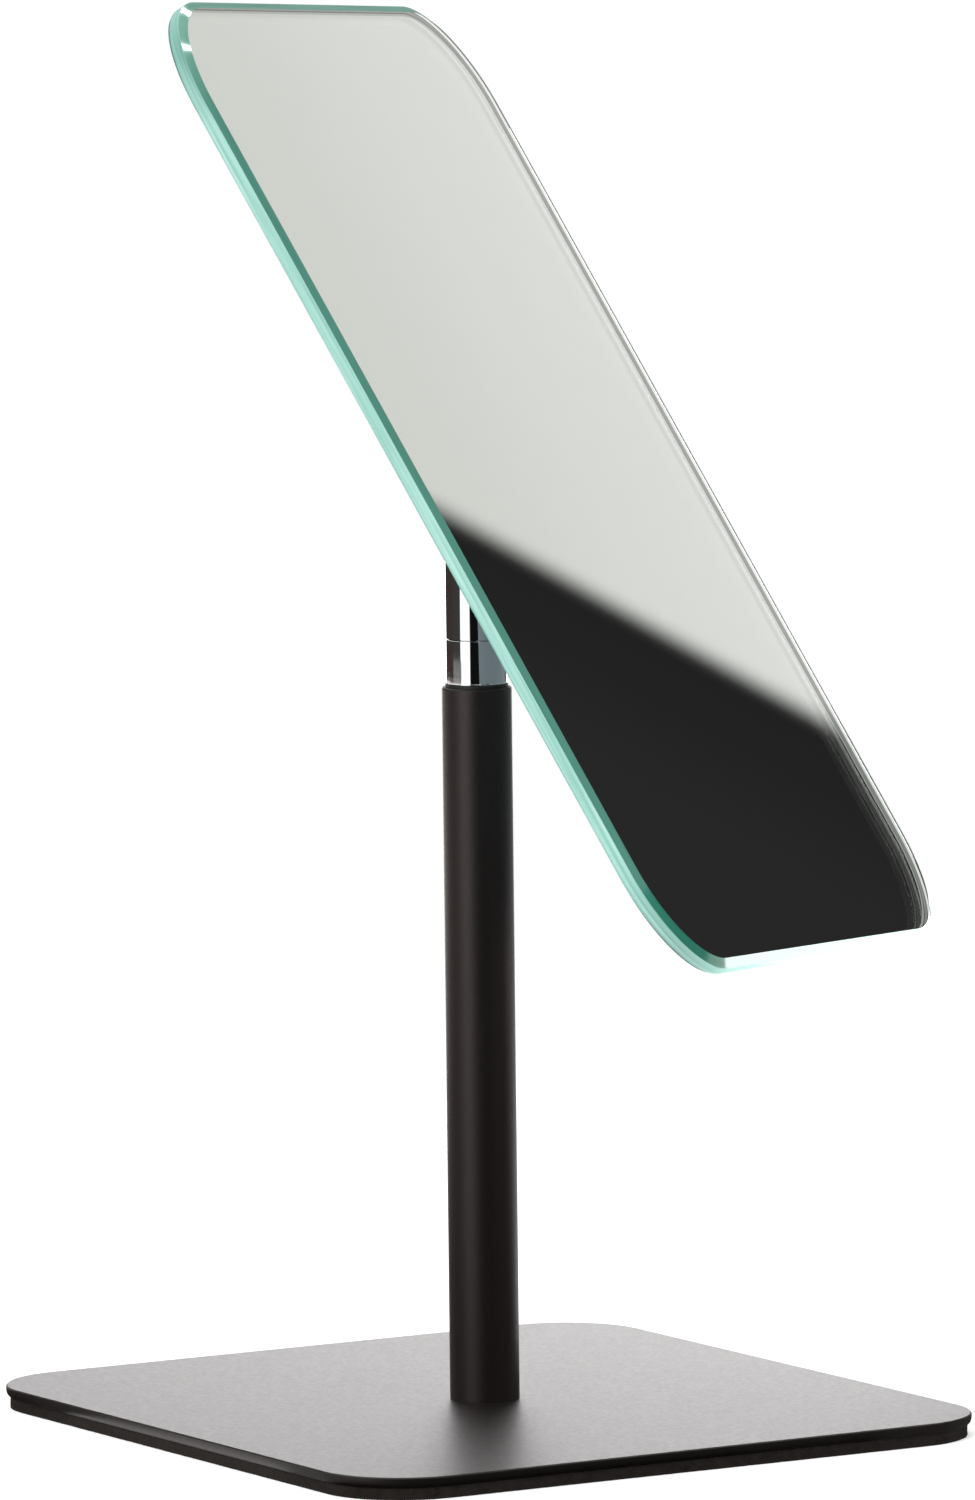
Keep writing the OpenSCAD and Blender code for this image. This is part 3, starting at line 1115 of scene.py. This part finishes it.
@dataclass
class CardRing:
    """Ring of upright cards round the stand, with their feet on the floor, open towards the backdrop.

    The coat and the chrome mirror it. Each set of tones holds angles in degrees from the camera's side,
    with the colour from there to the next. The floor's tones, the tube's, the collar's and the head's
    lie one over the other. The floor's tones are painted light and shade: a mat that only mirrored rays
    see, standing in for the lit and shaded table beside the base. The tube's tones start darker near the
    floor, painted shade that the tube's foot mirrors.
    """

    foot: float = 88 * MM
    foot_shift: float = -12 * MM
    lift: float = 0.5 * MM
    radius: float = 0.45
    height: float = 0.35
    segments: int = 96
    end: float = 122.0
    blur: float = 0.6
    fade: float = 0.6 * MM
    steps: Triple = (1.5 * MM, 122.4 * MM, 128.5 * MM)
    # Painted light and shade of the table beside the base: a mat that only mirrored rays see
    floor: Tones = (
        (-157.0, (0.05, 0.038, 0.034)),
        (-97.0, grey(0.12)),
        (-59.0, grey(0.4)),
        (-20.0, grey(0.004)),
        (40.0, grey(0.03)),
        (60.0, grey(0.14)),
        (80.0, grey(0.03)),
    )
    # Painted shade: darker tones low on the ring, so that the tube's foot mirrors dark
    tube_foot_shade_span: Span = (15 * MM, 75 * MM)
    tube_foot_painted_shade: Tones = (
        (-157.0, (0.5, 0.48, 0.46)),
        (-120.0, (0.1, 0.085, 0.08)),
        (-90.0, (0.12, 0.105, 0.1)),
        (-59.0, (0.8, 0.78, 0.77)),
        (-24.0, grey(0.004)),
        (42.0, (0.07, 0.058, 0.055)),
        (95.0, (0.5, 0.47, 0.44)),
    )
    tube: Tones = (
        (-157.0, (1.6, 1.53, 1.46)),
        (-120.0, (0.82, 0.72, 0.69)),
        (-90.0, (0.84, 0.75, 0.72)),
        (-59.0, (2.7, 2.64, 2.6)),
        (-24.0, grey(0.006)),
        (10.5, (0.075, 0.052, 0.05)),
        (42.0, (0.6, 0.52, 0.505)),
        (59.0, (0.38, 0.305, 0.29)),
        (95.0, (1.25, 1.18, 1.12)),
    )
    collar: Tones = (
        (-157.0, (0.05, 0.038, 0.034)),
        (-97.0, grey(0.22)),
        (-59.0, grey(1.4)),
        (-24.0, grey(0.006)),
        (10.5, (0.20, 0.26, 0.28)),
        (42.0, (0.75, 0.78, 0.78)),
        (59.0, grey(0.014)),
        (110.0, grey(0.3)),
    )
    head: Tones = (
        (-157.0, (0.05, 0.038, 0.034)),
        (-97.0, (0.05, 0.047, 0.045)),
        (-62.0, grey(1.4)),
        (-24.0, grey(0.006)),
        (10.5, (0.28, 0.32, 0.33)),
        (59.0, grey(0.014)),
    )

    def build(self) -> None:
        """Makes the ring, with its inner edge moved a little towards -X."""
        first = self.floor[0][0]
        profile = [(self.foot, self.lift), (self.radius, self.lift), (self.radius, self.height)]
        shape = spin_wall(profile, self.end - first, self.segments)
        start = Matrix.Rotation(math.radians(first), 3, "Z")
        bmesh.ops.rotate(shape, cent=CENTRE, matrix=start, verts=shape.verts)
        turned = Matrix.Rotation(math.radians(CAMERA_AZIMUTH), 3, "Z")
        inner = [v for v in shape.verts if v.co.xy.length < self.foot + MM]
        bmesh.ops.translate(shape, vec=turned.inverted() @ Vector((self.foot_shift, 0.0, 0.0)), verts=inner)
        shader = show_card("card_ring", shape, turned.to_4x4())
        height = shader.along("Z")
        sets = (self.floor, self.tube_foot_painted_shade, self.tube, self.collar, self.head)
        tone, tube_foot_painted_shade, tube, collar, head = (self._round(shader, tones) for tones in sets)
        # Painted shade: the tube's darker foot tones below, its own tones above
        tube = shader.blend(height, self.tube_foot_shade_span, tube_foot_painted_shade, tube)
        for step, higher in zip(self.steps, (tube, collar, head)):
            tone = shader.blend(height, (step - self.fade, step + self.fade), tone, higher)
        shader.give(Emission_Color=tone)

    def _round(self, shader: Shader, rows: Tones) -> NodeSocket:
        """Gives a colour that goes by the angle round Z.

        Args:
            shader: the shader to add to.
            rows: angles in degrees, each with the colour from there on.

        Returns:
            The socket with the colour.
        """
        angle = shader.add("ShaderNodeTexGradient", Vector=shader.place)
        angle.gradient_type = "RADIAL"
        tones = []
        ends = [start for start, _ in rows[1:]] + [self.end]
        for (start, colour), end in zip(rows, ends):
            for edge in (start + self.blur, end - self.blur):
                tones.append((0.5 + edge / 360.0, colour))
        return shader.ramp(angle.outputs["Fac"], tuple(tones))


@dataclass
class Backdrop:
    """Bright backdrop that the flat base mirrors, brighter than white paper and most on the right."""

    span: Span = (162.0, 203.0)
    radius: float = 0.5
    height: float = 0.26
    segments: int = 24
    right: Colour = grey(4.3)
    left: Colour = grey(3.2)

    def build(self) -> None:
        """Makes the backdrop."""
        first, last = self.span
        shape = spin_wall([(self.radius, 0.0), (self.radius, self.height)], last - first, self.segments)
        place = Matrix.Rotation(math.radians(CAMERA_AZIMUTH + first), 4, "Z")
        shader = show_card("card_backdrop", shape, place)
        far_side = self.radius * math.sin(math.radians(last - first))
        shader.give(Emission_Color=shader.blend(shader.along("Y"), (0.0, far_side), self.right, self.left))


@dataclass
class PaneCard:
    """Flat card that the pane mirrors: light on one side, dark on the other, with a soft upright edge.

    The light side fades on a slant, so that it is even along the pane.
    """

    place: Triple = (0.6188, 0.2957, 0.3830)
    facing: Triple = (-0.8637, -0.4460, -0.2348)
    half: float = 0.5
    edge: float = 23.2 * MM
    blur: float = 3.7 * MM
    slant: Triple = (1.0, 0.63, 0.0)
    light_span: Span = (-0.05, 0.05)
    light: tuple[Colour, Colour] = ((0.825, 0.813, 0.795), (0.718, 0.708, 0.68))
    dark_end: float = 0.07
    dark: tuple[Colour, Colour] = ((0.0175, 0.0165, 0.017), (0.024, 0.0225, 0.023))
    dim_span: Span = (-0.22, -0.14)
    dim: Colour = grey(0.32)

    def build(self) -> None:
        """Makes the card."""
        shape = bmesh.new()
        bmesh.ops.create_grid(shape, x_segments=1, y_segments=1, size=self.half)
        facing = Vector(self.facing)
        across = Vector(UPWARD).cross(facing).normalized()
        turned = Matrix((across, facing.cross(across), facing)).transposed().to_4x4()
        shader = show_card("card_before_pane", shape, Matrix.Translation(self.place) @ turned)
        side = shader.along("X")
        slanted = shader.add("ShaderNodeVectorMath")
        slanted.operation = "DOT_PRODUCT"
        slanted.inputs[1].default_value = self.slant
        shader.tree.links.new(shader.place, slanted.inputs[0])
        light = shader.blend(slanted.outputs["Value"], self.light_span, *self.light)
        dark = shader.blend(side, (self.edge, self.dark_end), *self.dark)
        parted = shader.blend(side, (self.edge - self.blur, self.edge + self.blur), light, dark)
        shader.give(Emission_Color=shader.blend(side, self.dim_span, self.dim, parted))


@dataclass
class PhotoCamera:
    """The camera as it stood for the photo."""

    location: Triple = (-1.7219, -2.8977, 0.5360)
    yaw: float = math.radians(59.241)
    pitch: float = math.radians(6.452)
    roll: float = math.radians(0.655)
    focal_pixels: float = 14846.0
    near: float = 0.05
    far: float = 60.0

    def build(self) -> Object:
        """Makes the camera and gives it to the scene.

        Returns:
            The camera.
        """
        ahead = Vector((math.cos(self.yaw) * math.cos(self.pitch), math.sin(self.yaw) * math.cos(self.pitch),
                        -math.sin(self.pitch)))
        right = Vector((math.sin(self.yaw), -math.cos(self.yaw), 0.0))
        down = ahead.cross(right)
        turned_right = math.cos(self.roll) * right + math.sin(self.roll) * down
        turned_down = math.cos(self.roll) * down - math.sin(self.roll) * right
        data = bpy.data.cameras.new("photo_camera")
        data.sensor_width = SENSOR
        data.lens = self.focal_pixels / PHOTO_LONG_SIDE * SENSOR
        data.clip_start, data.clip_end = self.near, self.far
        camera = bpy.data.objects.new("photo_camera", data)
        bpy.context.scene.collection.objects.link(camera)
        turned = Matrix((turned_right, -turned_down, -ahead)).transposed()
        camera.matrix_world = Matrix.Translation(self.location) @ turned.to_4x4()
        bpy.context.scene.camera = camera
        return camera


def dress_nodes(frame: dict[str, Any], finishes: Finishes) -> None:
    """Puts the record's finish on every CAD node.

    Args:
        finishes: the part's materials.
    """
    for row in frame["record"]["subparts"]:
        finishes.dress(frame["nodes"][row["node"]], Stock(row["material_slot"]))
        LOG.info("%s in %s", row["node"], row["material_slot"])


def main() -> None:
    """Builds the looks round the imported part."""
    logging.basicConfig(level=logging.INFO, format="%(name)s: %(message)s")
    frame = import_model()
    bpy.context.scene.view_settings.view_transform = "Standard"
    camera = PhotoCamera().build()
    finishes = Finishes()
    dress_nodes(frame, finishes)
    FoamPad().build(finishes)
    pane = Pane(joints={joint["name"]: joint for joint in frame["joints"]})
    glass = pane.build(finishes)
    Room().build()
    Lamps().build(pane, glass, camera)
    for card in (CardRing(), Backdrop(), PaneCard()):
        card.build()


if __name__ == "__main__":
    main()
